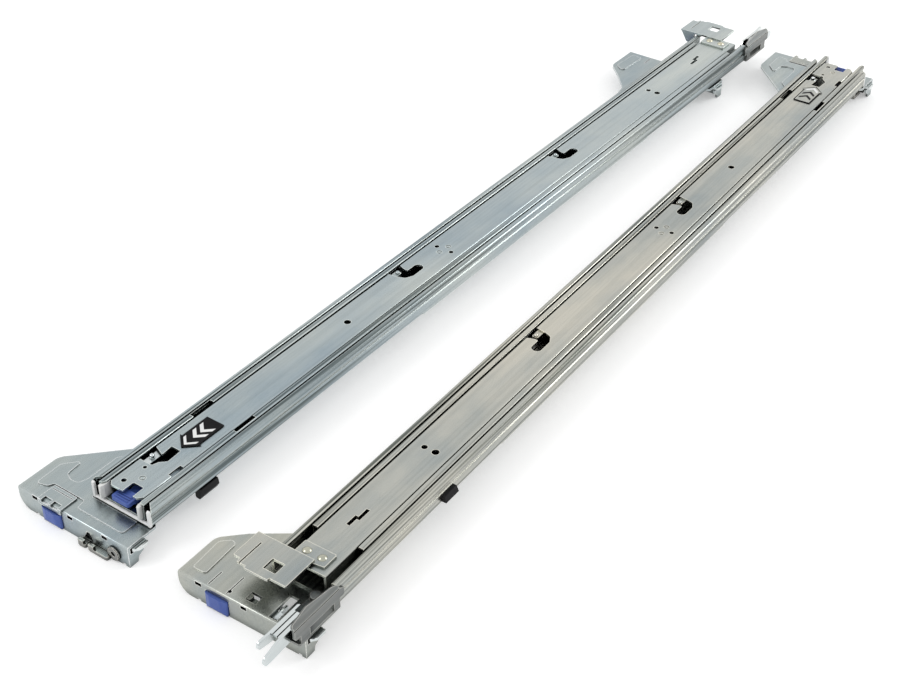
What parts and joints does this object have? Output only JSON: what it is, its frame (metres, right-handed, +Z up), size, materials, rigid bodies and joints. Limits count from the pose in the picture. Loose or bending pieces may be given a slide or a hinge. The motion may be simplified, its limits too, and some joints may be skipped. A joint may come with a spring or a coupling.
{
  "type": "sliding server rail pair",
  "caption": "Pair of tool-less 2U sliding server rails: three-member ball slides on wing brackets with blue latch buttons and a telescoping rear bracket.",
  "frame": {"origin": "middle of the pair's bounding box, on the floor the pair lies on", "axes": "+Y along the left rail from its front post face to its rear, +X from the left rail to the right one, +Z up from the floor (toward the server when mounted)"},
  "size_m": [0.2104, 0.7934, 0.0325],
  "materials": {
    "zinc_steel": "zinc plate, fine rolled grain",
    "zinc_rivets": "yellowish zinc plate",
    "hook_steel": "hardened, nickel plate",
    "spring_steel": "bright spring steel",
    "bright_steel": "zinc plate",
    "polished_steel": "polished",
    "cage_steel": "rolled strip",
    "ball_steel": "ground",
    "black_plastic": "moulded",
    "white_nylon": "moulded nylon",
    "blue_plastic": "moulded, fine texture"
  },
  "bodies": {
    "rails": {"left_outer_member": "zinc_steel", "left_front_bracket": "zinc_steel", "left_strap_guides": "zinc_steel", "left_rivets": "zinc_rivets", "left_front_post_hooks": "hook_steel", "left_front_post_stud": "hook_steel", "left_front_latch_cover": "zinc_steel", "left_front_latch_spring": "spring_steel", "left_front_bumper": "bright_steel", "left_cable_bracket": "bright_steel", "left_cable_hook": "polished_steel", "left_front_clip": "black_plastic", "right_outer_member": "zinc_steel", "right_front_bracket": "zinc_steel", "right_strap_guides": "zinc_steel", "right_rivets": "zinc_rivets", "right_front_post_hooks": "hook_steel", "right_front_post_stud": "hook_steel", "right_front_latch_cover": "zinc_steel", "right_front_latch_spring": "spring_steel", "right_front_bumper": "bright_steel", "right_cable_bracket": "bright_steel", "right_cable_hook": "polished_steel", "right_rear_clip": "black_plastic"},
    "left_intermediate": {"left_intermediate_member": "zinc_steel", "left_guide_blocks": "white_nylon"},
    "left_inner": {"left_inner_member": "zinc_steel", "left_cable_plate": "zinc_steel", "left_cable_rivets": "zinc_rivets"},
    "left_outer_cage": {"left_outer_ball_cage": "cage_steel", "left_outer_balls": "ball_steel"},
    "left_inner_cage": {"left_inner_ball_cage": "cage_steel", "left_inner_balls": "ball_steel"},
    "left_rear_slide": {"left_rear_bracket": "zinc_steel", "left_rear_latch_spring": "spring_steel"},
    "left_front_latch_button_body": {"left_front_latch_button": "blue_plastic"},
    "left_front_latch_body": {"left_front_latch": "polished_steel"},
    "left_rear_latch_button_body": {"left_rear_latch_button": "blue_plastic"},
    "left_rear_latch_body": {"left_rear_latch": "polished_steel"},
    "left_release_tab_body": {"left_release_tab": "blue_plastic"},
    "left_lock_spring_body": {"left_lock_spring": "spring_steel"},
    "right_intermediate": {"right_intermediate_member": "zinc_steel", "right_guide_blocks": "white_nylon"},
    "right_inner": {"right_inner_member": "zinc_steel", "right_cable_plate": "zinc_steel", "right_cable_rivets": "zinc_rivets"},
    "right_outer_cage": {"right_outer_ball_cage": "cage_steel", "right_outer_balls": "ball_steel"},
    "right_inner_cage": {"right_inner_ball_cage": "cage_steel", "right_inner_balls": "ball_steel"},
    "right_rear_slide": {"right_rear_bracket": "zinc_steel", "right_rear_latch_spring": "spring_steel"},
    "right_front_latch_button_body": {"right_front_latch_button": "blue_plastic"},
    "right_front_latch_body": {"right_front_latch": "polished_steel"},
    "right_rear_latch_button_body": {"right_rear_latch_button": "blue_plastic"},
    "right_rear_latch_body": {"right_rear_latch": "polished_steel"},
    "right_release_tab_body": {"right_release_tab": "blue_plastic"},
    "right_lock_spring_body": {"right_lock_spring": "spring_steel"}
  },
  "joints": [
    {"name": "left_intermediate_slide", "type": "slide", "parent": "rails", "child": "left_intermediate", "axis": [0, -1, 0], "range_m": [0, 0.35]},
    {"name": "left_inner_slide", "type": "slide", "parent": "left_intermediate", "child": "left_inner", "axis": [0, -1, 0], "range_m": [0, 0.35]},
    {"name": "left_outer_cage_slide", "type": "slide", "parent": "rails", "child": "left_outer_cage", "axis": [0, -1, 0], "range_m": [0, 0.175]},
    {"name": "left_inner_cage_slide", "type": "slide", "parent": "left_intermediate", "child": "left_inner_cage", "axis": [0, -1, 0], "range_m": [0, 0.175]},
    {"name": "left_rear_bracket_slide", "type": "slide", "parent": "rails", "child": "left_rear_slide", "axis": [0, 1, 0], "range_m": [-0.0024, 0.1896]},
    {"name": "left_front_button_press", "type": "slide", "parent": "rails", "child": "left_front_latch_button_body", "axis": [0, 1, 0], "range_m": [0, 0.003], "stiffness_N_per_m": 400, "springref_m": -0.002},
    {"name": "left_front_latch_slide", "type": "slide", "parent": "rails", "child": "left_front_latch_body", "axis": [-1, 0, 0], "range_m": [0, 0.003], "deforming": ["left_front_latch_spring"]},
    {"name": "left_rear_button_press", "type": "slide", "parent": "left_rear_slide", "child": "left_rear_latch_button_body", "axis": [0, -1, 0], "range_m": [0, 0.003], "stiffness_N_per_m": 400, "springref_m": -0.002},
    {"name": "left_rear_latch_slide", "type": "slide", "parent": "left_rear_slide", "child": "left_rear_latch_body", "axis": [-1, 0, 0], "range_m": [0, 0.003], "deforming": ["left_rear_latch_spring"]},
    {"name": "left_release_tab_push", "type": "slide", "parent": "left_inner", "child": "left_release_tab_body", "axis": [0, 1, 0], "range_m": [0, 0.003], "stiffness_N_per_m": 300, "springref_m": -0.002},
    {"name": "left_lock_pin_press", "type": "slide", "parent": "left_inner", "child": "left_lock_spring_body", "axis": [0, 0, -1], "range_m": [0, 0.0018], "stiffness_N_per_m": 600, "springref_m": -0.001},
    {"name": "right_intermediate_slide", "type": "slide", "parent": "rails", "child": "right_intermediate", "axis": [-0.028, 0.9996, 0], "range_m": [-0.009, 0.341]},
    {"name": "right_inner_slide", "type": "slide", "parent": "right_intermediate", "child": "right_inner", "axis": [-0.028, 0.9996, 0], "range_m": [0, 0.359]},
    {"name": "right_outer_cage_slide", "type": "slide", "parent": "rails", "child": "right_outer_cage", "axis": [-0.028, 0.9996, 0], "range_m": [-0.0045, 0.1705]},
    {"name": "right_inner_cage_slide", "type": "slide", "parent": "right_intermediate", "child": "right_inner_cage", "axis": [-0.028, 0.9996, 0], "range_m": [0, 0.1795]},
    {"name": "right_rear_bracket_slide", "type": "slide", "parent": "rails", "child": "right_rear_slide", "axis": [0.028, -0.9996, 0], "range_m": [-0.0703, 0.1217]},
    {"name": "right_front_button_press", "type": "slide", "parent": "rails", "child": "right_front_latch_button_body", "axis": [0.028, -0.9996, 0], "range_m": [0, 0.003], "stiffness_N_per_m": 400, "springref_m": -0.002},
    {"name": "right_front_latch_slide", "type": "slide", "parent": "rails", "child": "right_front_latch_body", "axis": [-0.9996, -0.028, 0], "range_m": [0, 0.003], "deforming": ["right_front_latch_spring"]},
    {"name": "right_rear_button_press", "type": "slide", "parent": "right_rear_slide", "child": "right_rear_latch_button_body", "axis": [-0.028, 0.9996, 0], "range_m": [0, 0.003], "stiffness_N_per_m": 400, "springref_m": -0.002},
    {"name": "right_rear_latch_slide", "type": "slide", "parent": "right_rear_slide", "child": "right_rear_latch_body", "axis": [-0.9996, -0.028, 0], "range_m": [0, 0.003], "deforming": ["right_rear_latch_spring"]},
    {"name": "right_release_tab_push", "type": "slide", "parent": "right_inner", "child": "right_release_tab_body", "axis": [0.028, -0.9996, 0], "range_m": [0, 0.003], "stiffness_N_per_m": 300, "springref_m": -0.002},
    {"name": "right_lock_pin_press", "type": "slide", "parent": "right_inner", "child": "right_lock_spring_body", "axis": [0, 0, -1], "range_m": [0, 0.0018], "stiffness_N_per_m": 600, "springref_m": -0.001}
  ],
  "couplings": [
    {"joint": "left_outer_cage_slide", "follows": "left_intermediate_slide", "ratio": 0.5},
    {"joint": "left_inner_cage_slide", "follows": "left_inner_slide", "ratio": 0.5},
    {"joint": "left_front_latch_slide", "follows": "left_front_button_press", "ratio": 1},
    {"joint": "left_rear_latch_slide", "follows": "left_rear_button_press", "ratio": 1},
    {"joint": "right_outer_cage_slide", "follows": "right_intermediate_slide", "ratio": 0.5},
    {"joint": "right_inner_cage_slide", "follows": "right_inner_slide", "ratio": 0.5},
    {"joint": "right_front_latch_slide", "follows": "right_front_button_press", "ratio": 1},
    {"joint": "right_rear_latch_slide", "follows": "right_rear_button_press", "ratio": 1}
  ]
}
